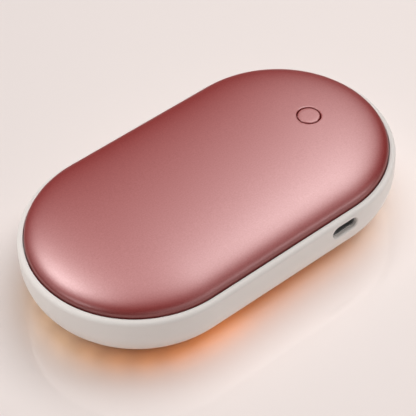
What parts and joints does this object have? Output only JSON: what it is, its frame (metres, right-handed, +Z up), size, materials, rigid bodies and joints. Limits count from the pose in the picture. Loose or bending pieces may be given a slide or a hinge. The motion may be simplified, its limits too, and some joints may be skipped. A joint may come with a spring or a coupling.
{
  "type": "rechargeable hand warmer",
  "caption": "Palm-sized rechargeable hand warmer: two domed metal heating shells in a moulded ring, with a push button and a charging inlet.",
  "frame": {"origin": "middle of the underside that it rests on", "axes": "+X along the body to the end with the button, -Y to the long side with the charging inlet, +Z up through the domed shell"},
  "size_m": [0.1196, 0.0684, 0.0265],
  "materials": {
    "rose_shell": "satin metallic rose lacquer",
    "white_frame": "fine satin moulded plastic",
    "black_moulding": "fine matt moulding",
    "heater_film": "amber film with a printed track",
    "foam": "closed-cell foam",
    "screw_steel": "zinc plated",
    "socket_steel": "drawn sheet",
    "nickel": "rolled strip",
    "board_green": "solder-masked board",
    "component_black": "moulded component bodies",
    "ferrite": "dull ferrite",
    "ceramic": "fired ceramic",
    "connector_white": "moulded connector",
    "plunger_cream": "moulded plunger",
    "cell_wrap": "shrink sleeve",
    "lead_red": "silicone insulation",
    "lead_black": "silicone insulation"
  },
  "bodies": {
    "housing": {"top_shell": "rose_shell", "top_heater": "heater_film", "top_pad": "foam", "top_carrier": "black_moulding", "top_screws": "screw_steel", "top_thermistor": "component_black", "top_heater_leads": "lead_red", "mid_frame": "white_frame", "main_board": "board_green", "tact_switch": "component_black", "usb_shell": "socket_steel", "usb_tongue": "component_black", "charger_chip": "component_black", "inductor": "ferrite", "heater_switches": "component_black", "capacitors": "ceramic", "resistors": "component_black", "battery_connector": "connector_white", "heater_connector": "connector_white", "board_screws": "screw_steel", "chassis": "black_moulding", "battery_cell_near": "cell_wrap", "battery_cell_far": "cell_wrap", "positive_strip": "nickel", "negative_strip": "nickel", "protection_board": "board_green", "battery_lead_positive": "lead_red", "battery_lead_negative": "lead_black", "chassis_screws": "screw_steel", "bottom_thermistor": "component_black", "bottom_heater_leads": "lead_red", "bottom_carrier": "black_moulding", "bottom_screws": "screw_steel", "bottom_pad": "foam", "bottom_heater": "heater_film", "bottom_shell": "rose_shell"},
    "button": {"power_button": "rose_shell"},
    "plunger": {"switch_plunger": "plunger_cream"}
  },
  "joints": [
    {"name": "button_press", "type": "slide", "parent": "housing", "child": "button", "axis": [0, 0, -1], "range_m": [0, 0.0004], "stiffness_N_per_m": 2000},
    {"name": "plunger_press", "type": "slide", "parent": "housing", "child": "plunger", "axis": [0, 0, -1], "range_m": [0, 0.0004]}
  ],
  "couplings": [
    {"joint": "plunger_press", "follows": "button_press", "ratio": 1}
  ]
}
